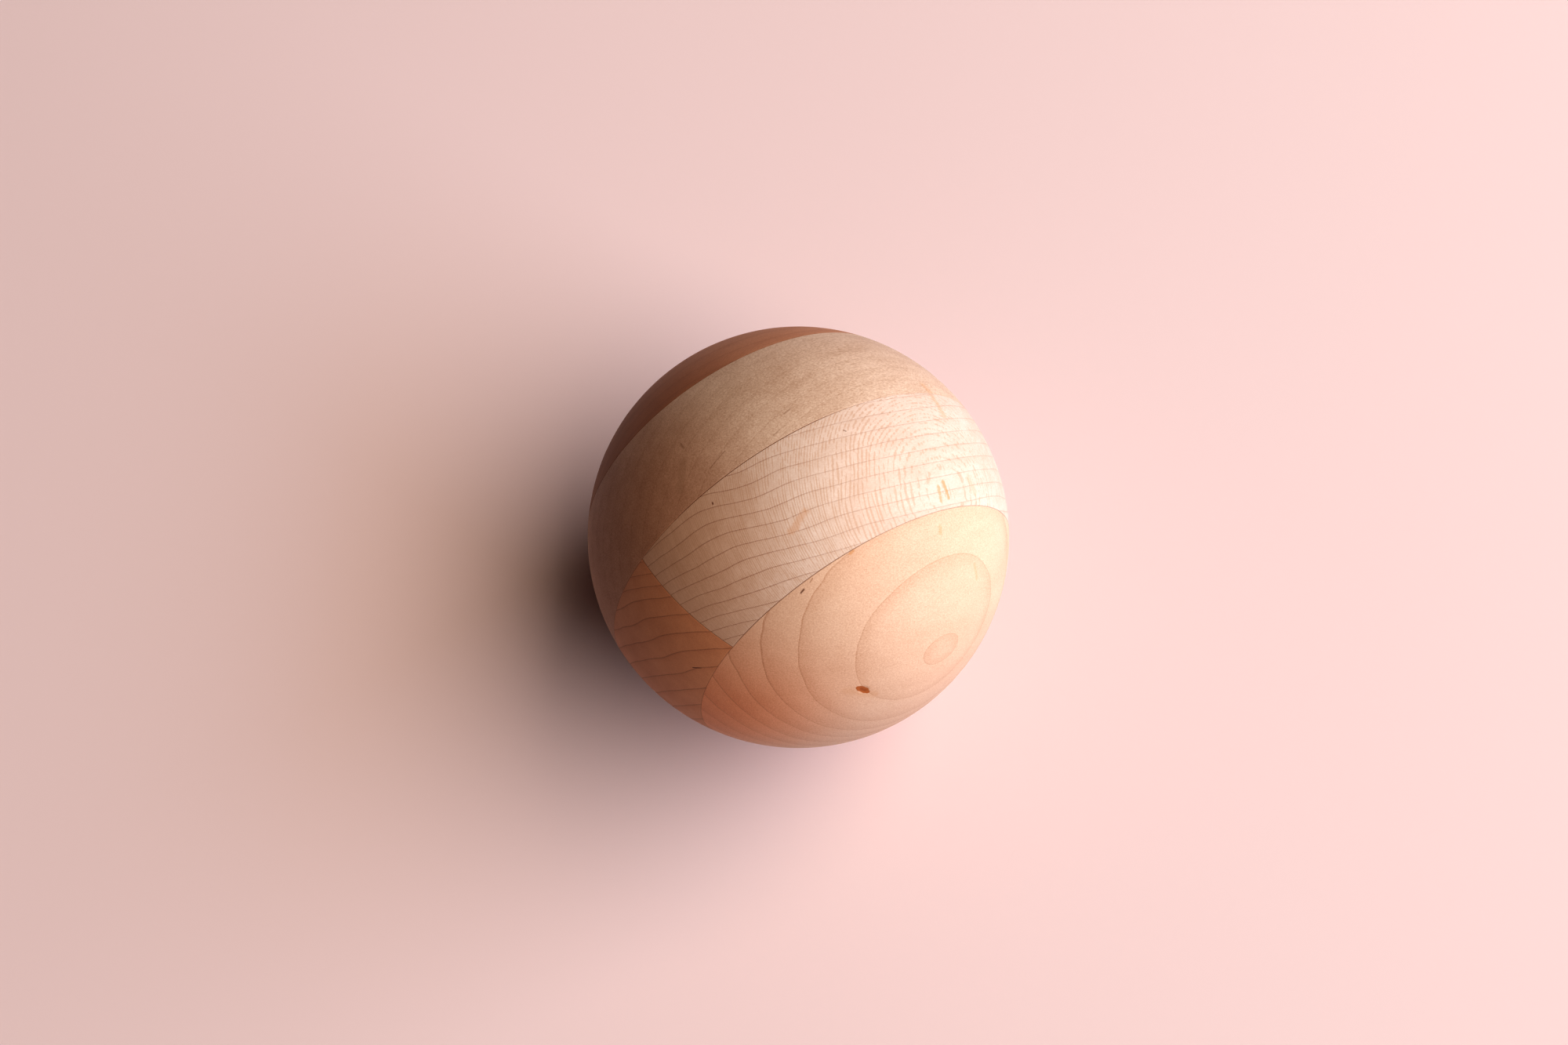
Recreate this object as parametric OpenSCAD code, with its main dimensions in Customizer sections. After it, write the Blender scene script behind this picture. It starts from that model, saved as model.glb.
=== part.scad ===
// Turned wooden ball, laminated from maple.
// A stack of four boards is glued face to face, then turned to a sphere.
// One of the two middle boards is itself two staves, glued edge to edge.

/* [Ball] */
// Diameter of the finished ball
ball_d = 75; // [60:0.5:100]

/* [Boards] */
// Thickness of each of the two middle boards, from glue line to glue line
board_t = 19.6; // [12:0.1:24]
// Distance of the middle glue line from the ball's centre, towards the front cap
glue_shift = 0.8; // [-3:0.1:3]
// Distance of the staves' edge joint from the ball's centre, towards the light stave
edge_shift = 5.1; // [-8:0.1:8]

/* [Lie] */
// First turn of the stack, about X, from boards lying flat to the way that the ball rests
lie_x = 78.5; // [-180:0.5:180]
// Second turn of the stack, about Y
lie_y = 35; // [-90:0.5:90]
// Third turn of the stack, about Z
lie_z = 25; // [-180:0.5:180]

/* [Hidden] */
ball_r = ball_d / 2;
// Heights of the three glue lines in the stack, where the boards lie flat and grain runs along X
front_glue = glue_shift + board_t;
middle_glue = glue_shift;
back_glue = glue_shift - board_t;
// The uncut stack is wider than the ball by this much all round
blank_spare = 5;
blank_r = ball_r + blank_spare;
$fn = 96;

// Space in the stack between two heights and two distances across the grain, as long as the blank
module stock(low, high, near = -blank_r, far = blank_r) {
    translate([-blank_r, near, low])
        cube([2 * blank_r, far - near, high - low]);
}

// What the lathe leaves of a board: the ball's own surface outside, flat glued faces inside,
// with the stack turned to the way that the ball rests
module turned() {
    rotate([lie_x, lie_y, lie_z])
        intersection() {
            sphere(r = ball_r);
            children();
        }
}

// Outer board in front, sawn so that its growth rings show as closed loops
module front_cap() {
    color([0.90, 0.70, 0.52])
        turned() stock(front_glue, blank_r);
}

// Paler stave of the second board, with its growth rings crossed by fine rays
module light_stave() {
    color([0.93, 0.78, 0.66])
        turned() stock(middle_glue, front_glue, near = edge_shift);
}

// Redder stave beside it, glued to it along one long edge
module dark_stave() {
    color([0.80, 0.56, 0.40])
        turned() stock(middle_glue, front_glue, far = edge_shift);
}

// Third board, across the ball's centre
module centre_board() {
    color([0.84, 0.66, 0.50])
        turned() stock(back_glue, middle_glue);
}

// Outer board at the back, of redder heartwood
module back_cap() {
    color([0.68, 0.44, 0.30])
        turned() stock(-blank_r, back_glue);
}

front_cap();
light_stave();
dark_stave();
centre_board();
back_cap();
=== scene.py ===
import bpy, bmesh, math
from mathutils import Euler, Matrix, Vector


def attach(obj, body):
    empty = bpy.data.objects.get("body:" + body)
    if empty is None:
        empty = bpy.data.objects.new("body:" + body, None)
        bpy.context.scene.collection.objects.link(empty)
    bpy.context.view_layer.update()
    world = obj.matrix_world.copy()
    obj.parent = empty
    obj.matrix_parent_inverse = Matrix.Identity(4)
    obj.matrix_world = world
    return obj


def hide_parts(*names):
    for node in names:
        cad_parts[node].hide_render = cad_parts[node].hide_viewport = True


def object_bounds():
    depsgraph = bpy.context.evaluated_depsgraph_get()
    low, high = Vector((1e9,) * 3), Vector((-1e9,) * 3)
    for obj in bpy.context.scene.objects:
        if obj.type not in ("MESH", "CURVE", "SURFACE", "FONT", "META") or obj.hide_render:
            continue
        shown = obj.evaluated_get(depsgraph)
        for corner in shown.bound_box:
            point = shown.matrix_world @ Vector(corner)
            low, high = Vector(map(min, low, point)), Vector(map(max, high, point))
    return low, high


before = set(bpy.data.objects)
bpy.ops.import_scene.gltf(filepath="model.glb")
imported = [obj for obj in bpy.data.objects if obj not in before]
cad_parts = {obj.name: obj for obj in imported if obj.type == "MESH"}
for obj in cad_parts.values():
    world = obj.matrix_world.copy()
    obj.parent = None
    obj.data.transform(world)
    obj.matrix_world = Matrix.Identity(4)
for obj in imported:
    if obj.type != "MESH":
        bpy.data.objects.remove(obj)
cadLow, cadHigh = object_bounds()

# The ball in the row's frame. The stack is the ball turned back, so that its boards lie flat:
# grain along X, staves side by side along Y, layers along Z. Stack sizes are in millimetres.
mm = 0.001
lie = [math.radians(angle) for angle in (78.5, 35, 25)]
lieMatrix = Euler(lie, "XYZ").to_matrix()
ballRadius = min(*(-cadLow), *cadHigh)  # just inside the CAD box
ballMm = ballRadius / mm


def stackSpan(node):  # lowest and highest stack corner of a CAD node, in mm
    corners = [lieMatrix.transposed() @ v.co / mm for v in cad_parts[node].data.vertices]
    return [(min(c[i] for c in corners), max(c[i] for c in corners)) for i in range(3)]


layerSpan = {node: stackSpan(node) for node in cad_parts}
frontGlue = layerSpan["front_cap"][2][0]
middleGlue = layerSpan["centre_board"][2][1]
backGlue = layerSpan["centre_board"][2][0]
staveJoint = layerSpan["light_stave"][1][0]
print("glue lines at", round(frontGlue, 2), round(middleGlue, 2), round(backGlue, 2))
print("stave joint at", round(staveJoint, 2))

view = dict(elevation=73, reach=6.6, lens=31.57, sensor=36, shiftRight=-0.0092, shiftUp=0.0094,
            nearest=0.005, contrast=1.4)


def makeCamera():
    tilt = math.radians(view["elevation"])
    back = Vector((0, -math.cos(tilt), math.sin(tilt)))
    camera = bpy.data.objects.new("camera", bpy.data.cameras.new("camera"))
    bpy.context.scene.collection.objects.link(camera)
    camera.location = back * view["reach"] * ballRadius
    camera.rotation_mode = "QUATERNION"
    camera.rotation_quaternion = (-back).to_track_quat("-Z", "Y")
    camera.data.lens = view["lens"]
    camera.data.sensor_width = view["sensor"]
    camera.data.shift_x = view["shiftRight"]
    camera.data.shift_y = view["shiftUp"]
    camera.data.clip_start = view["nearest"]
    bpy.context.scene.camera = camera
    bpy.context.scene.view_settings.view_transform = "Standard"
    bpy.context.scene.view_settings.gamma = 1 / view["contrast"]


floor = dict(size=12.0, colour=(0.785, 0.66, 0.705), roughness=0.7, shine=0.2)


def makeFloor():
    mesh = bpy.data.meshes.new("floor")
    half = floor["size"] / 2
    corners = [(x * half, y * half, -ballRadius) for x, y in ((-1, -1), (1, -1), (1, 1), (-1, 1))]
    mesh.from_pydata(corners, [], [(0, 1, 2, 3)])
    ground = bpy.data.objects.new("floor", mesh)
    bpy.context.scene.collection.objects.link(ground)
    paint = bpy.data.materials.new("floorPaint")
    paint.use_nodes = True
    shader = paint.node_tree.nodes["Principled BSDF"]
    shader.inputs["Base Color"].default_value = (*floor["colour"], 1)
    shader.inputs["Roughness"].default_value = floor["roughness"]
    shader.inputs["Specular IOR Level"].default_value = floor["shine"]
    mesh.materials.append(paint)


# two softboxes on the right, one above the other, and a little light from the whole room
softboxes = dict(reach=2.2, around=-2, wide=3.1, boxes=[
    dict(name="lowSoftbox", up=27, tall=1.3, watts=58, colour=(0.87, 1.0, 1.13)),
    dict(name="highSoftbox", up=60, tall=1.25, watts=49, colour=(1.20, 1.0, 0.76))])
room = dict(colour=(1.0, 0.42, 0.28), strength=0.03)


def makeLights():
    for box in softboxes["boxes"]:
        lamp = bpy.data.lights.new(box["name"], "AREA")
        lamp.shape = "RECTANGLE"
        lamp.size, lamp.size_y = softboxes["wide"], box["tall"]
        lamp.energy = box["watts"]
        lamp.color = box["colour"]
        light = bpy.data.objects.new(box["name"], lamp)
        bpy.context.scene.collection.objects.link(light)
        around, up = math.radians(softboxes["around"]), math.radians(box["up"])
        flat = math.cos(up)
        toLight = Vector((flat * math.cos(around), flat * math.sin(around), math.sin(up)))
        light.location = toLight * softboxes["reach"]
        light.rotation_mode = "QUATERNION"
        light.rotation_quaternion = (-toLight).to_track_quat("-Z", "Y")
    world = bpy.data.worlds.new("room")
    world.use_nodes = True
    sky = world.node_tree.nodes["Background"]
    sky.inputs["Color"].default_value = (*room["colour"], 1)
    sky.inputs["Strength"].default_value = room["strength"]
    bpy.context.scene.world = world


class Value:  # a socket that sums can be written with
    def __init__(self, graph, socket):
        self.graph, self.socket = graph, socket

    def calc(self, operation, *others, clamp=False):
        return self.graph.math(operation, self, *others, clamp=clamp)

    def __add__(self, other):
        return self.calc("ADD", other)

    def __radd__(self, other):
        return self.graph.math("ADD", other, self)

    def __sub__(self, other):
        return self.calc("SUBTRACT", other)

    def __rsub__(self, other):
        return self.graph.math("SUBTRACT", other, self)

    def __mul__(self, other):
        return self.calc("MULTIPLY", other)

    def __rmul__(self, other):
        return self.graph.math("MULTIPLY", other, self)

    def __truediv__(self, other):
        return self.calc("DIVIDE", other)

    def __rtruediv__(self, other):
        return self.graph.math("DIVIDE", other, self)

    def __neg__(self):
        return self.calc("MULTIPLY", -1)

    def __abs__(self):
        return self.calc("ABSOLUTE")

    def least(self, other):
        return self.calc("MINIMUM", other)

    def most(self, other):
        return self.calc("MAXIMUM", other)

    def above(self, other):
        return self.calc("GREATER_THAN", other)

    def root(self):
        return self.calc("SQRT")

    def sine(self):
        return self.calc("SINE")

    def cosine(self):
        return self.calc("COSINE")

    def held(self):  # kept between 0 and 1
        return self.calc("ADD", 0, clamp=True)

    def ramp(self, low, high, soft=True):  # 0 at low, 1 at high
        kind = "SMOOTHSTEP" if soft else "LINEAR"
        return self.graph.node("ShaderNodeMapRange", {"interpolation_type": kind},
                               {"Value": self, "From Min": low, "From Max": high})


class Graph:
    def __init__(self, tree):
        self.tree = tree

    def node(self, kind, settings=None, inputs=None, output=0):
        made = self.tree.nodes.new(kind)
        for name, setting in (settings or {}).items():
            setattr(made, name, setting)
        for name, given in (inputs or {}).items():
            socket = made.inputs[name]
            if isinstance(given, Value):
                self.tree.links.new(given.socket, socket)
            else:
                socket.default_value = given
        return Value(self, made.outputs[output])

    def math(self, operation, *given, clamp=False):
        settings = {"operation": operation, "use_clamp": clamp}
        return self.node("ShaderNodeMath", settings, dict(enumerate(given)))

    def vector(self, operation, *given, output=0):
        return self.node("ShaderNodeVectorMath", {"operation": operation}, dict(enumerate(given)), output)

    def join(self, x, y, z):
        return self.node("ShaderNodeCombineXYZ", None, {0: x, 1: y, 2: z})

    def split(self, vector):
        parts = self.node("ShaderNodeSeparateXYZ", None, {0: vector})
        return [Value(self, parts.socket.node.outputs[i]) for i in range(3)]

    def mix(self, factor, first, second, blend="MIX"):
        given = {0: factor}
        for place, colour in ((6, first), (7, second)):
            given[place] = colour if isinstance(colour, Value) else (*colour, 1)
        return self.node("ShaderNodeMix", {"data_type": "RGBA", "blend_type": blend}, given, 2)

    def noise(self, place, scale=1.0, detail=2.0, rough=0.5):
        return self.node("ShaderNodeTexNoise", None,
                         {"Vector": place, "Scale": scale, "Detail": detail, "Roughness": rough})


# how finely a board's mesh is cut, and its eased corners, in mm
cut = dict(columns=384, sideRows=96, faceRows=8, jointShare=0.25, weld=0.0004, crispAngle=0.6,
           grooveWidth=0.09, grooveDepth=0.05, grooveFade=(0.02, 0.2))
# the knot has dried and sunk: its dent's reach and ragged edge
dent = dict(wide=1.0, deep=0.08, grainScale=900, ragged=0.7, edge=(1.0, 0.45))


def makeBoardTree():
    tree = bpy.data.node_groups.new("turnedBoard", "GeometryNodeTree")
    tree.is_modifier = True
    tree.interface.new_socket("Geometry", in_out="OUTPUT", socket_type="NodeSocketGeometry")
    wholeNames = ("Columns", "Side Rows", "Face Rows")
    for name in wholeNames:
        tree.interface.new_socket(name, in_out="INPUT", socket_type="NodeSocketInt")
    for name in ("Ball Radius", "Low Face", "High Face", "Joint", "Joint Share", "Groove Width",
                 "Groove Depth", "Pole X", "Pole Y", "Dent Width", "Dent Depth"):
        tree.interface.new_socket(name, in_out="INPUT", socket_type="NodeSocketFloat")
    tree.interface.new_socket("Lie", in_out="INPUT", socket_type="NodeSocketRotation")
    tree.interface.new_socket("Wood", in_out="INPUT", socket_type="NodeSocketMaterial")
    g = Graph(tree)
    source = tree.nodes.new("NodeGroupInput")
    size = {socket.name: Value(g, socket) for socket in source.outputs}
    radius, low, high = size["Ball Radius"], size["Low Face"], size["High Face"]
    faceRows, share = size["Face Rows"], size["Joint Share"]
    rows = size["Side Rows"] + faceRows * 2
    grid = g.node("GeometryNodeMeshGrid", None, {"Vertices X": size["Columns"] + 1, "Vertices Y": rows + 1})
    u, v, _ = g.split(g.node("GeometryNodeInputPosition"))
    u, v = u + 0.5, (v + 0.5) * rows
    spread = (v / faceRows).least((rows - v) / faceRows).held()  # 0 at a face's middle, 1 from its rim on
    climb = ((v - faceRows) / size["Side Rows"]).held()
    ease = 0.5 - (climb * math.pi).cosine() * 0.5  # rows crowd together at the rims
    latLow = (low / radius).calc("ARCSINE")
    latHigh = (high / radius).calc("ARCSINE")
    lat = latLow + (latHigh - latLow) * ease
    z = radius * lat.sine()
    rim = radius * lat.cosine()
    # around: an arc, then the joint's straight run, which is a point on boards without a joint
    start = (size["Joint"] / rim.most(1e-6)).least(1).most(-1).calc("ARCSINE")
    arc = (u / (1 - share)).held()
    easedArc = 0.5 - (arc * math.pi).cosine() * 0.5
    arcEase = g.node("GeometryNodeSwitch", {"input_type": "FLOAT"},
                     {"Switch": share.above(0), "False": arc, "True": easedArc})
    turn = start + (math.pi - start * 2) * arcEase
    run = ((u - 1 + share) / share.most(1e-6)).held()
    onRun = u.above(1.00001 - share)
    x = rim * turn.cosine() + rim * start.cosine() * run * 2 * onRun
    y = rim * turn.sine()
    # glue lines: the corners are eased a little on both sides
    groove = size["Groove Width"]
    pull = (1 - (z - low) / groove).most(1 - (high - z) / groove).held()
    pull = pull * (rim / radius).ramp(*cut["grooveFade"])
    pull = pull.most((1 - (y - size["Joint"]) / groove).held() * share.above(0))
    shrink = 1 - pull * size["Groove Depth"] / radius
    x, y = x * shrink, y * shrink
    # a cap's pole can move, so that the mesh is finest round the knot
    poleX, poleY = size["Pole X"], size["Pole Y"]
    flatness = 1 - (x * x + y * y) / (radius * radius - low * low)
    away = flatness.most(0) * spread.above(0.999)
    x, y = x + poleX * away, y + poleY * away
    height = (radius * radius - x * x - y * y).most(0).root()
    moved = (abs(poleX) + abs(poleY)).above(0) * away.above(0)
    z = z + (height - z) * moved
    # the knot has shrunk below the surface
    sunk = g.vector("LENGTH", g.join(x - poleX, y - poleY, 0), output=1)
    grain = g.noise(g.join(x, y, z), scale=dent["grainScale"], detail=2)
    sunk = (sunk / size["Dent Width"] + (grain - 0.5) * dent["ragged"]).ramp(*dent["edge"])
    deep = 1 - sunk * size["Dent Depth"] / radius
    middle = (size["Joint"].most(-rim) + rim) / 2
    y = middle + (y - middle) * spread
    x = x * spread
    shaped = g.node("GeometryNodeSetPosition", None,
                    {"Geometry": grid, "Position": g.join(x * deep, y * deep, z * deep)})
    welded = g.node("GeometryNodeMergeByDistance", None, {"Geometry": shaped, "Distance": cut["weld"] * mm})
    turned = g.node("GeometryNodeTransform", None, {"Geometry": welded, "Rotation": size["Lie"]})
    smooth = g.node("GeometryNodeSetShadeSmooth", {"domain": "FACE"}, {0: turned})
    angle = g.node("GeometryNodeInputMeshEdgeAngle")
    crisp = g.node("GeometryNodeSetShadeSmooth", {"domain": "EDGE"},
                   {0: smooth, "Selection": angle.above(cut["crispAngle"]), "Shade Smooth": False})
    real = g.node("GeometryNodeRealizeInstances", None, {0: crisp})
    wooden = g.node("GeometryNodeSetMaterial", None, {"Geometry": real, "Material": size["Wood"]})
    end = tree.nodes.new("NodeGroupOutput")
    tree.links.new(wooden.socket, end.inputs[0])
    return tree


def makeBoard(tree, name, wood, sizes, mirror=False):
    start = bpy.data.objects.new(name + "Start", bpy.data.meshes.new(name + "Start"))
    bpy.context.scene.collection.objects.link(start)
    step = start.modifiers.new("board", "NODES")
    step.node_group = tree
    given = dict(sizes, Wood=wood)
    for item in tree.interface.items_tree:
        if item.in_out == "INPUT" and item.name in given:
            step[item.identifier] = given[item.name]
    bpy.context.view_layer.update()
    shown = start.evaluated_get(bpy.context.evaluated_depsgraph_get())
    mesh = bpy.data.meshes.new_from_object(shown)
    mesh.name = name
    bpy.data.objects.remove(start)
    if mirror:  # the stave on the joint's other side
        for vertex in mesh.vertices:
            vertex.co = lieMatrix @ (Vector((1, -1, 1)) * (lieMatrix.transposed() @ vertex.co))
    work = bmesh.new()
    work.from_mesh(mesh)
    bmesh.ops.recalc_face_normals(work, faces=work.faces)
    work.to_mesh(mesh)
    work.free()
    board = bpy.data.objects.new(name, mesh)
    bpy.context.scene.collection.objects.link(board)
    return board


def streak(start, end, half, strength, colour, ragged=0.7, edge=(1.2, 0.3)):  # in stack mm
    return dict(start=start, end=end, half=half, strength=strength, colour=colour, ragged=ragged, edge=edge)


# What all the boards share, in stack mm where it is a size. Pairs of grain sizes are along and across.
common = dict(rayTall=0.5, rayLong=4.5, rayGap=0.26, rayThick=0.58, raySway=5.0, swaySize=(24, 16, 5),
              rayShown=(0.34, 0.6), rayEdge=(-0.12, 0.25), brokenTall=0.45, brokenLong=0.75,
              brokenFrom=(-14, -2), brokenBy=0.2, brokenShown=(0.56, 0.44),
              shiftSize=(8, 12), shiftBy=0.8, sheetSeeds=(3.7, 5.3, 2.9), bump=0.35, bumpDeep=0.04, shine=0.3,
              slowSize=(30, 9), patchSize=(9, 2.6), mottleSize=(0.5, 0.24),
              dashSize=(1.6, 0.16), dashShown=(0.58, 0.74),
              # painted shade: a tint that darkens and reddens the boards towards their low-X ends, and where
              # along and across it grows
              tone=0.4, paintedShadeTint=(1, 1, 1), paintedShadeAlong=(-20, -37), paintedShadeAcross=(60, 50),
              lineHalf=0.07, lineClear=0.42, lineClearer=0.5, lineAlong=(-16, -32), markGrain=0.8,
              lineLeast=0.25, lineMottle=1.3, roughMottle=0.12, roughRays=0.1,
              yearWide=2.2, wobble=0.35, wobbleSize=(16, 4), narrowFrom=60, narrowGap=2.0,
              fan=0, fanAcross=(4, 17), glueColour=(0.22, 0.09, 0.045), glueHalf=0.07, thinGlue=0.06)

# where the glue lines show more, as pairs of distances between which they grow clear
clearGlue = dict(edge=(1.6, 0.5), faint=0.2, jointShow=0.55, middleShow=0.65,
                 middleAcross=((13, 17), (36.5, 33)), middleAlong=(6, -4),
                 frontShow=0.4, frontAcross=((4, 9), (30, 24)))

# how far each mark stands below the surface, beside a glue line's 1
relief = dict(mottle=0.6, ringLine=0.4, rays=0.5, dashes=0.4, dashEdge=(0.6, 0.8))


class Wood(Graph):  # one board's material, drawn in the stack's own millimetres
    def __init__(self, name):
        self.material = bpy.data.materials.new(name)
        self.material.use_nodes = True
        super().__init__(self.material.node_tree)
        self.shader = self.tree.nodes["Principled BSDF"]
        ownPlace = self.node("ShaderNodeTexCoord", output=3)
        self.place = self.node("ShaderNodeMapping", {"vector_type": "TEXTURE"},
                               {"Vector": ownPlace, "Rotation": lie, "Scale": (mm, mm, mm)})
        self.x, self.y, self.z = self.split(self.place)

    def stretched(self, along, across):  # the place, drawn out along the grain
        return self.join(self.x / along, self.y / across, self.z / across)

    def fromPith(self, pith):  # distance from the tree's middle, and how far round it
        acrossY, acrossZ = self.y - pith[0], self.z - pith[1]
        reach = (acrossY * acrossY + acrossZ * acrossZ).root()
        far = math.hypot(*pith)
        side = math.atan2(-pith[0], -pith[1])
        turned = acrossY * math.cos(side) - acrossZ * math.sin(side)
        ahead = acrossY * math.sin(side) + acrossZ * math.cos(side)
        return reach, turned.calc("ARCTAN2", ahead) * far

    def rays(self, reach, around, look):  # thin sheets of cells that run out from the pith
        swayX, swayReach, swayAround = look["swaySize"]
        swayPlace = self.join(self.x / swayX, reach / swayReach, around / swayAround)
        count = around / look["rayGap"] + self.noise(swayPlace, detail=1) * look["raySway"]
        sheet = count.calc("FLOOR")
        shiftX, shiftReach = look["shiftSize"]
        shiftSeed, heightSeed, brokenSeed = look["sheetSeeds"]
        shiftPlace = self.join(sheet * shiftSeed, reach / shiftReach, self.x / shiftX)
        shift = (self.noise(shiftPlace, detail=1) - 0.5) * look["shiftBy"]
        offCentre = abs((count.calc("FRACT") - 0.5 + shift).least(0.5).most(-0.5)) * 2
        heightPlace = self.join(self.x / look["rayTall"], reach / look["rayLong"], sheet * heightSeed)
        brokenPlace = self.join(self.x / look["brokenTall"], reach / look["brokenLong"], sheet * brokenSeed)
        broken = self.noise(brokenPlace, detail=1).ramp(*look["brokenShown"])
        lost = broken * self.x.ramp(*look["brokenFrom"]) * look["brokenBy"]
        height = self.noise(heightPlace, detail=1) - lost
        thick = height.ramp(*look["rayShown"], soft=False) * look["rayThick"]
        return (thick - offCentre).ramp(*look["rayEdge"])

    def mark(self, streak):  # a small streak between two points, strongest along its middle
        start, reach = Vector(streak["start"]), Vector(streak["end"]) - Vector(streak["start"])
        ahead = reach.normalized()
        fromStart = self.vector("SUBTRACT", self.place, start)
        along = self.vector("DOT_PRODUCT", fromStart, ahead, output=1).most(0).least(reach.length)
        nearest = self.node("ShaderNodeVectorMath", {"operation": "SCALE"}, {0: ahead, "Scale": along})
        away = self.vector("LENGTH", self.vector("SUBTRACT", fromStart, nearest), output=1) / streak["half"]
        grain = self.noise(self.place, scale=common["markGrain"] / streak["half"], detail=2)
        rough = (grain - 0.5) * streak["ragged"]
        return (away + rough).ramp(*streak["edge"]) * streak["strength"]

    def glueLine(self, distance, strength, half=common["glueHalf"]):
        return abs(distance).ramp(half * clearGlue["edge"][0], half * clearGlue["edge"][1]) * strength

    def clearMiddle(self):  # how much the middle glue line shows
        near, far = clearGlue["middleAcross"]
        shown = self.y.ramp(*near) * self.y.ramp(*far) * self.x.ramp(*clearGlue["middleAlong"])
        return clearGlue["faint"] + shown * clearGlue["middleShow"]

    def clearFront(self):  # how much the front glue line shows
        near, far = clearGlue["frontAcross"]
        return clearGlue["faint"] + self.y.ramp(*near) * self.y.ramp(*far) * clearGlue["frontShow"]

    def finish(self, colour, rough, height, look):
        self.tree.links.new(colour.socket, self.shader.inputs["Base Color"])
        self.tree.links.new(rough.socket, self.shader.inputs["Roughness"])
        bump = self.node("ShaderNodeBump", None,
                         {"Height": height, "Strength": look["bump"], "Distance": look["bumpDeep"] * mm})
        self.tree.links.new(bump.socket, self.shader.inputs["Normal"])
        self.shader.inputs["Specular IOR Level"].default_value = look["shine"]
        return self.material


def pithRings(w, look, reach, shift):  # even years, and narrower ones from some distance on
    wobble = (w.noise(w.stretched(*look["wobbleSize"]), detail=1) - 0.5) * look["wobble"]
    out = reach - look["markedRing"] - shift + wobble
    if look["fan"]:
        out = out / (1 + w.y.ramp(*look["fanAcross"]) * look["fan"])
    narrow = (out - look["narrowFrom"]).most(0) / look["narrowGap"]
    age = out.least(look["narrowFrom"]) / look["yearGap"] + narrow
    within = age.calc("FRACT")
    after = (within * look["yearWide"]).ramp(look["lineHalf"], 0.0)
    before = ((1 - within) * look["yearWide"]).ramp(look["lineHalf"] * 2.2, 0.0)
    return after.most(before), within.calc("POWER", 4)


def drawWood(w, look, ringLine, lateWood, glue):
    rays = w.rays(*w.fromPith(look["pith"]), look)
    slow = w.noise(w.stretched(*look["slowSize"]), detail=2, rough=0.55)
    patch = w.noise(w.stretched(*look["patchSize"]), detail=3, rough=0.6)
    mottle = w.noise(w.stretched(*look["mottleSize"]), detail=3, rough=0.7)
    dashes = w.noise(w.stretched(*look["dashSize"]), detail=1)
    tone = (slow - 0.5) * look["slow"] + (patch - 0.5) * look["patch"] + (mottle - 0.5) * look["mottle"]
    tone = (tone + lateWood * look["late"] + look["tone"]).held()
    colour = w.mix(tone, look["pale"], look["deep"])
    # painted shade: the colour is darkened and reddened towards the low-X end, where the ball's left side
    # lies in shade
    paintedShade = w.x.ramp(*look["paintedShadeAlong"]) * w.y.ramp(*look["paintedShadeAcross"])
    colour = w.mix(paintedShade, colour, look["paintedShadeTint"], "MULTIPLY")
    colour = w.mix(rays * look["rayShow"], colour, look["rayColour"])
    colour = w.mix((dashes.ramp(*look["dashShown"]) * look["dash"]).held(), colour, look["poreColour"])
    dotted = (look["lineLeast"] + mottle * look["lineMottle"]).held()
    clear = look["lineClear"] + w.x.ramp(*look["lineAlong"]) * look["lineClearer"]
    shown = look["lineShow"] * clear
    colour = w.mix((ringLine * shown * dotted).held(), colour, look["lineColour"])
    for one in look["marks"]:
        colour = w.mix(w.mark(one), colour, one["colour"])
    colour = w.mix(glue, colour, look["glueColour"])
    rough = look["rough"] + mottle * look["roughMottle"] - rays * (look["rayShow"] * look["roughRays"])
    height = 1 - (mottle - 0.5) * relief["mottle"] - ringLine * relief["ringLine"]
    height = height - rays * (look["rayShow"] * relief["rays"])
    height = height - dashes.ramp(*relief["dashEdge"]) * relief["dashes"] - glue
    return w.finish(colour, rough, height, look)


orange, amber, brown = (0.60, 0.34, 0.20), (0.70, 0.32, 0.13), (0.20, 0.08, 0.04)

lightStave = dict(common, pale=(0.765, 0.65, 0.61), deep=(0.59, 0.435, 0.36), rayColour=(0.54, 0.34, 0.235),
                  poreColour=(0.52, 0.34, 0.24), lineColour=(0.30, 0.13, 0.08),
                  # painted shade: this tint darkens and reddens the stave's low-X end
                  paintedShadeTint=(0.93, 0.77, 0.65), paintedShadeAlong=(-22, -36),
                  rayShow=0.44, slow=0.5, patch=0.7, mottle=1.0, late=0.1, dash=0.1, lineShow=0.7, rough=0.45,
                  pith=(-21.2, 116.2), markedRing=114.66, yearGap=1.95, fan=0.22, quietFrom=(-13, 0),
                  crests=[(17.5, 5.5, 0.6), (24.8, 4.5, -0.62)],  # place across, half a width, height
                  marks=[streak((-25.0, 24.2, 13.9), (-22.9, 26.9, 12.5), 0.7, 0.38, orange, 1.5),
                         streak((-1.1, 33.3, 17.1), (-1.3, 32.1, 19.1), 0.4, 0.55, amber, 1.5),
                         streak((0.2, 33.5, 16.6), (0.6, 32.2, 18.8), 0.45, 0.65, amber, 1.5),
                         streak((7.0, 33.0, 16.3), (7.7, 31.6, 18.7), 0.7, 0.2, amber),
                         streak((7.8, 36.5, 1.6), (7.7, 36.3, 5.4), 0.8, 0.3, amber, 1.0),
                         streak((-31.5, 20.1, 3.0), (-31.5, 20.0, 3.2), 0.16, 0.9, brown),
                         streak((-13.4, 34.8, 4.2), (-13.1, 34.8, 4.5), 0.13, 0.6, brown)])


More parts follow.
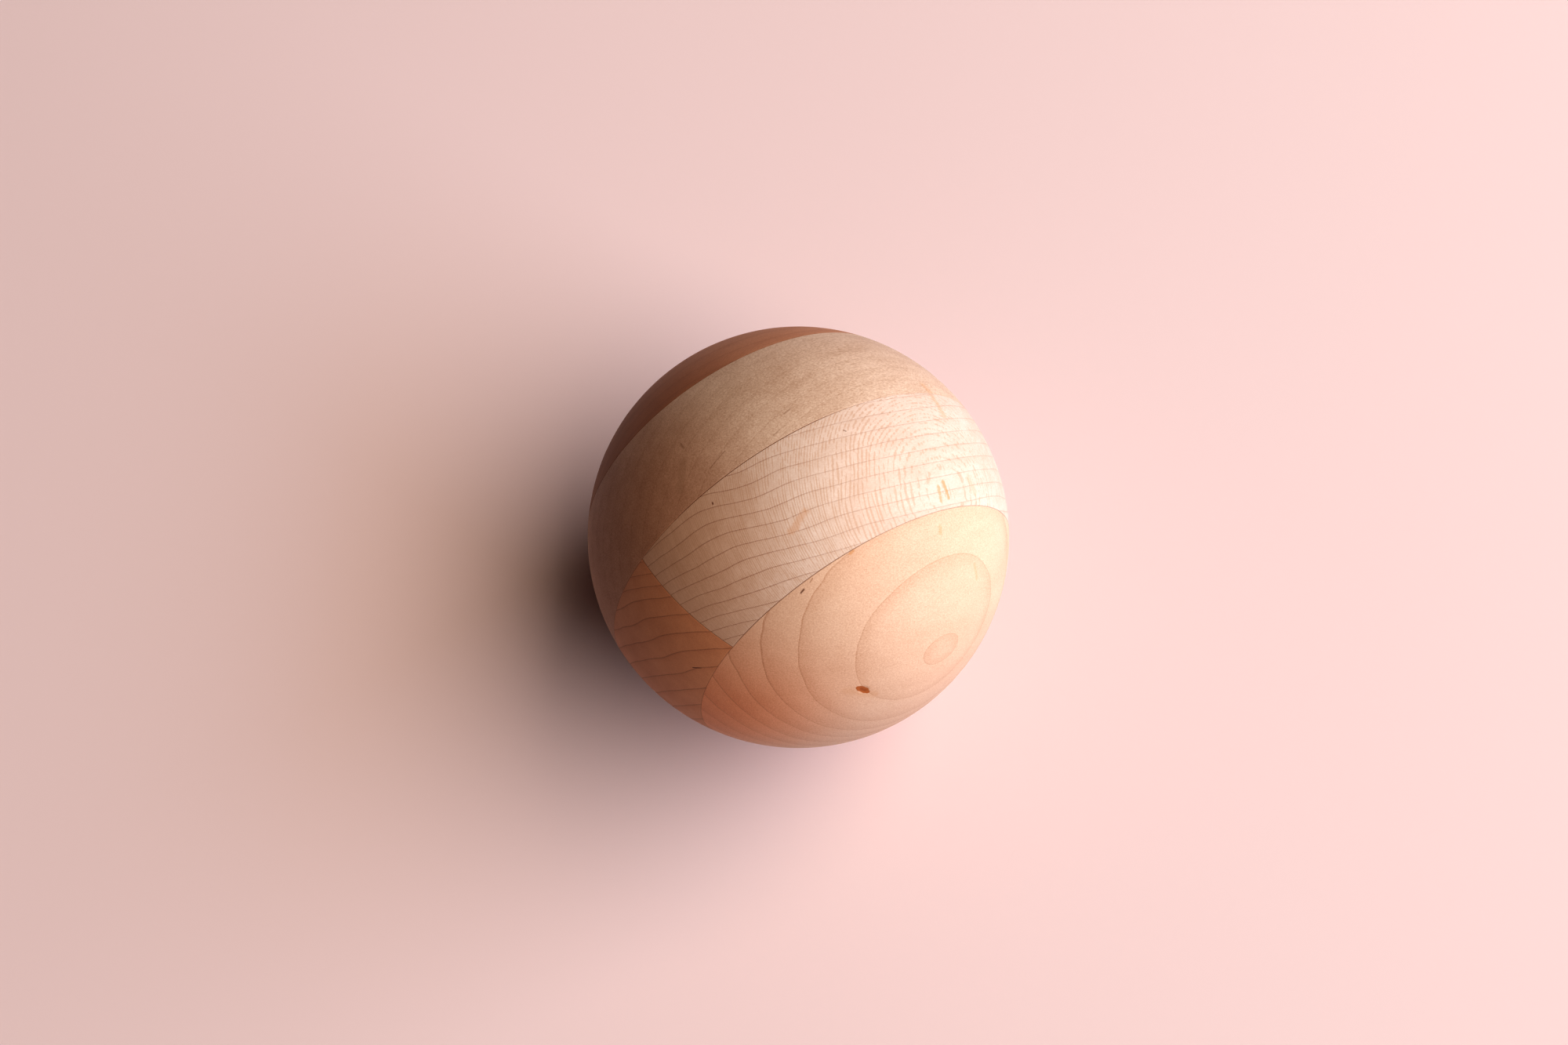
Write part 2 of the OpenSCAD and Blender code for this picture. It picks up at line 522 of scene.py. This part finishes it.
def lightStaveWood():
    w, look = Wood("light_stave_maple"), lightStave
    reach, _ = w.fromPith(look["pith"])
    shift = 0
    for across, half, height in look["crests"]:
        shift = abs(w.y - across).ramp(half, 0) * height + shift
    quiet = (reach - look["markedRing"]).ramp(*look["quietFrom"], soft=False)
    line, late = pithRings(w, look, reach, shift * quiet)
    thin = look["thinGlue"]
    glue = w.glueLine(w.z - middleGlue, w.clearMiddle(), thin)
    glue = glue.most(w.glueLine(w.z - frontGlue, w.clearFront(), thin))
    glue = glue.most(w.glueLine(w.y - staveJoint, clearGlue["jointShow"], thin))
    return drawWood(w, look, line, late, glue)


# partly painted shade: the dark stave's colours are its own darker wood, made redder and darker still for the
# shade on the ball's left side
darkStave = dict(common, pale=(0.72, 0.38, 0.225), deep=(0.50, 0.22, 0.12), rayColour=(0.44, 0.20, 0.11),
                 poreColour=(0.40, 0.17, 0.09), lineColour=(0.22, 0.075, 0.035),
                 middleGlue=0.4, frontGlue=0.35,
                 rayShow=0.12, slow=0.7, patch=0.5, mottle=0.8, late=0.25, dash=0.1, lineShow=0.5, rough=0.48,
                 pith=(-72, 112), markedRing=119.5, yearGap=3.05, narrowFrom=9.2, narrowGap=2.0,
                 stepAcross=(-1.5, -7.5), step=-0.85, shift=0.1,
                 marks=[streak((-33.0, -3.8, 17.5), (-32.4, -2.6, 18.5), 0.14, 0.85, (0.13, 0.04, 0.02))])


def darkStaveWood():
    w, look = Wood("dark_stave_maple"), darkStave
    reach, _ = w.fromPith(look["pith"])
    line, late = pithRings(w, look, reach, w.y.ramp(*look["stepAcross"]) * look["step"] + look["shift"])
    glue = w.glueLine(w.z - middleGlue, look["middleGlue"])
    glue = glue.most(w.glueLine(w.z - frontGlue, look["frontGlue"]))
    glue = glue.most(w.glueLine(w.y - staveJoint, clearGlue["jointShow"], look["thinGlue"]))
    return drawWood(w, look, line, late, glue)


umberBrown, umber, dullAmber = (0.26, 0.12, 0.06), (0.36, 0.21, 0.13), (0.60, 0.32, 0.14)

centreBoard = dict(common, pale=(0.745, 0.60, 0.515), deep=(0.51, 0.35, 0.265), rayColour=(0.48, 0.30, 0.20),
                   poreColour=(0.42, 0.24, 0.15), lineColour=(0.32, 0.16, 0.09), backGlue=0.3,
                   # painted shade: this tint darkens and reddens the board's low-X end
                   paintedShadeTint=(0.78, 0.57, 0.47), paintedShadeAlong=(-21, -38),
                   rayShow=0.12, slow=0.6, patch=0.7, mottle=2.0, late=0.12, dash=0.45, lineShow=0.16,
                   rough=0.48, pith=(58.8, 54.3), markedRing=60.8, yearGap=3.0, shift=0.1,
                   marks=[streak((-19.4, 32.0, -2.9), (-18.2, 32.6, -3.2), 0.16, 0.4, umberBrown, 1.2),
                          streak((-30.2, 20.1, -9.3), (-30.4, 20.3, -8.1), 0.22, 0.4, umberBrown, 1.2),
                          streak((-22.2, 30.2, -0.4), (-19.1, 32.1, -1.3), 0.14, 0.4, umberBrown, 1.2),
                          streak((-30.1, 22.3, -1.9), (-27.8, 25.0, -2.8), 0.12, 0.4, umberBrown, 1.2),
                          streak((-33.0, 17.2, -2.4), (-31.2, 19.4, -6.0), 0.9, 0.3, umber, 1.0),
                          streak((7.8, 36.7, -1.2), (8.2, 36.6, 0.4), 0.7, 0.3, dullAmber, 1.0)])


def centreBoardWood():
    w, look = Wood("centre_board_maple"), centreBoard
    reach, _ = w.fromPith(look["pith"])
    line, late = pithRings(w, look, reach, look["shift"])
    glue = w.glueLine(w.z - middleGlue, w.clearMiddle(), look["thinGlue"])
    glue = glue.most(w.glueLine(w.z - backGlue, look["backGlue"]))
    return drawWood(w, look, line, late, glue)


knotBrown = (0.46, 0.16, 0.05)

# its rings are closed ovals: middle, half their length and width, turn in degrees
# the outer ones follow a rule
frontCap = dict(common, pale=(0.79, 0.605, 0.50), deep=(0.595, 0.38, 0.275), rayColour=(0.54, 0.30, 0.19),
                poreColour=(0.56, 0.31, 0.19), lineColour=(0.42, 0.19, 0.10), mottleSize=(0.26, 0.21),
                # painted shade: this tint makes the cap's low-X, low-Y end darker and more orange
                paintedShadeTint=(1.04, 0.66, 0.46), paintedShadeAlong=(-8, -28), paintedShadeAcross=(18, -10),
                rayShow=0.0, slow=0.5, patch=0.3, mottle=1.8, late=0.22, dash=0.1, lineShow=0.5, rough=0.45,
                pith=(26, 72), ringSway=0.5, ringSwaySize=(7, 5), knot=(-13.4, 5.9),
                ovals=[((-0.5, 13), (4, 2.7), 8), ((-2.5, 15), (14.5, 11.5), 18), ((-2, 15), (23, 17.5), 14)],
                outerOvals=9, outerMiddle=(2, 15.5), outerHalf=(31.5, 20.5), outerTurn=17,
                growth=(4, 3.5), rise=0.5, lineInside=(-0.16, -0.02), lineOutside=(0.07, 0.0),
                lateInside=(-3.0, 0.0), lateOutside=(0.06, 0.0),
                halo=streak((-16.4, 5.3, 33.6), (-11.0, 5.0, 35.6), 0.9, 0.25, (0.62, 0.36, 0.20), 1.0),
                core=streak((-14.05, 6.1, 34.2), (-12.95, 5.7, 34.7), 0.62, 1, knotBrown, 0.35, (1.05, 0.8)),
                tips=streak((-14.45, 6.2, 34.0), (-12.45, 5.5, 34.9), 0.4, 1, knotBrown, 0.4, (1.05, 0.75)),
                pit=streak((-13.9, 6.05, 34.3), (-13.0, 5.75, 34.6), 0.34, 0.6, (0.30, 0.085, 0.025), 0.6),
                specks=[streak((-24.8, 18.3, 21.3), (-24.5, 18.9, 21.2), 0.16, 0.85, (0.16, 0.06, 0.03), 1.2),
                        streak((-23.7, 20.1, 20.9), (-23.4, 20.7, 20.7), 0.12, 0.5, (0.30, 0.13, 0.06)),
                        streak((-18.3, 25.4, 20.7), (-17.8, 25.8, 20.6), 0.28, 0.5, (0.60, 0.29, 0.10)),
                        streak((-2.6, 29.9, 22.4), (-2.7, 29.3, 23.2), 0.45, 0.35, (0.62, 0.32, 0.13)),
                        streak((5.1, 24.7, 27.7), (5.9, 22.7, 29.3), 0.4, 0.3, (0.62, 0.34, 0.15))])
knotMarks = [frontCap[part] for part in ("halo", "core", "tips", "pit")]
frontCap["marks"] = knotMarks + frontCap["specks"]


def outerOvals(look):
    (x, y), (long, wide), (longer, wider) = look["outerMiddle"], look["outerHalf"], look["growth"]
    return [((x, y + look["rise"] * n), (long + longer * n, wide + wider * n), look["outerTurn"])
            for n in range(look["outerOvals"])]


def frontCapWood():
    w, look = Wood("front_cap_maple"), frontCap
    sway = (w.noise(w.stretched(*look["ringSwaySize"]), detail=1) - 0.5) * look["ringSway"]
    lines, lates = [], []
    for centre, half, turn in look["ovals"] + outerOvals(look):
        oval = w.node("ShaderNodeMapping", {"vector_type": "TEXTURE"},
                      {"Vector": w.join(w.x, w.y, 0), "Location": (*centre, 0),
                       "Rotation": (0, 0, math.radians(turn)), "Scale": (*half, 1)})
        out = (w.vector("LENGTH", oval, output=1) - 1) * half[1] + sway
        lines.append(out.ramp(*look["lineInside"]) * out.ramp(*look["lineOutside"]))
        lates.append(out.ramp(*look["lateInside"]) * out.ramp(*look["lateOutside"]))
    line, late = lines[0], lates[0]
    for nextLine, nextLate in zip(lines[1:], lates[1:]):
        line, late = line.most(nextLine), late.most(nextLate)
    glue = w.glueLine(w.z - frontGlue, w.clearFront(), look["thinGlue"])
    return drawWood(w, look, line, late * late, glue)


# painted shade: the back cap's pale and deep colours are darker and redder than its maple, as its seen rim
# lies in shade; its tint darkens its low-X end further
backCap = dict(common, pale=(0.59, 0.315, 0.20), deep=(0.43, 0.20, 0.12), rayColour=(0.33, 0.15, 0.08),
               poreColour=(0.30, 0.13, 0.07), lineColour=(0.26, 0.10, 0.055), glueColour=(0.12, 0.05, 0.02),
               paintedShadeTint=(0.76, 0.64, 0.53), paintedShadeAlong=(-13, -27), backGlue=0.3,
               rayShow=0.15, slow=0.8, patch=0.6, mottle=0.8, late=0.25, dash=0.3, lineShow=0.35, rough=0.5,
               pith=(18, 30), markedRing=50.0, yearGap=2.8, swing=0.4, swingWide=8, marks=[])


def backCapWood():
    w, look = Wood("back_cap_maple"), backCap
    reach, _ = w.fromPith(look["pith"])
    line, late = pithRings(w, look, reach, (w.y / look["swingWide"]).sine() * look["swing"])
    return drawWood(w, look, line, late, w.glueLine(w.z - backGlue, look["backGlue"]))


def boardSizes(low, high, joint=None):
    sizes = {"Ball Radius": ballRadius, "Low Face": low * mm, "High Face": high * mm,
             "Joint": -ballRadius * 2, "Joint Share": 0.0, "Columns": cut["columns"],
             "Side Rows": cut["sideRows"], "Face Rows": cut["faceRows"],
             "Groove Width": cut["grooveWidth"] * mm, "Groove Depth": cut["grooveDepth"] * mm,
             "Dent Width": dent["wide"] * mm, "Lie": lie}
    if joint is not None:
        sizes.update({"Joint": joint * mm, "Joint Share": cut["jointShare"]})
    return sizes


def withKnot(sizes):
    x, y = frontCap["knot"]
    return {**sizes, "Pole X": x * mm, "Pole Y": y * mm, "Dent Depth": dent["deep"] * mm}


makeCamera()
makeFloor()
makeLights()
print("camera, floor and lights made")

boardTree = makeBoardTree()
# the dark stave is made as if its joint faced the other way, and then mirrored
boards = [("front_cap", frontCapWood, withKnot(boardSizes(frontGlue, ballMm)), False),
          ("light_stave", lightStaveWood, boardSizes(middleGlue, frontGlue, staveJoint), False),
          ("dark_stave", darkStaveWood, boardSizes(middleGlue, frontGlue, -staveJoint), True),
          ("centre_board", centreBoardWood, boardSizes(backGlue, middleGlue), False),
          ("back_cap", backCapWood, boardSizes(-ballMm, backGlue), False)]
for node, makeWood, sizes, mirror in boards:
    board = makeBoard(boardTree, node + "_turned", makeWood(), sizes, mirror)
    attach(board, "root")
    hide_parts(node)
    node + "_maple"
    print(node, len(board.data.polygons), "faces")
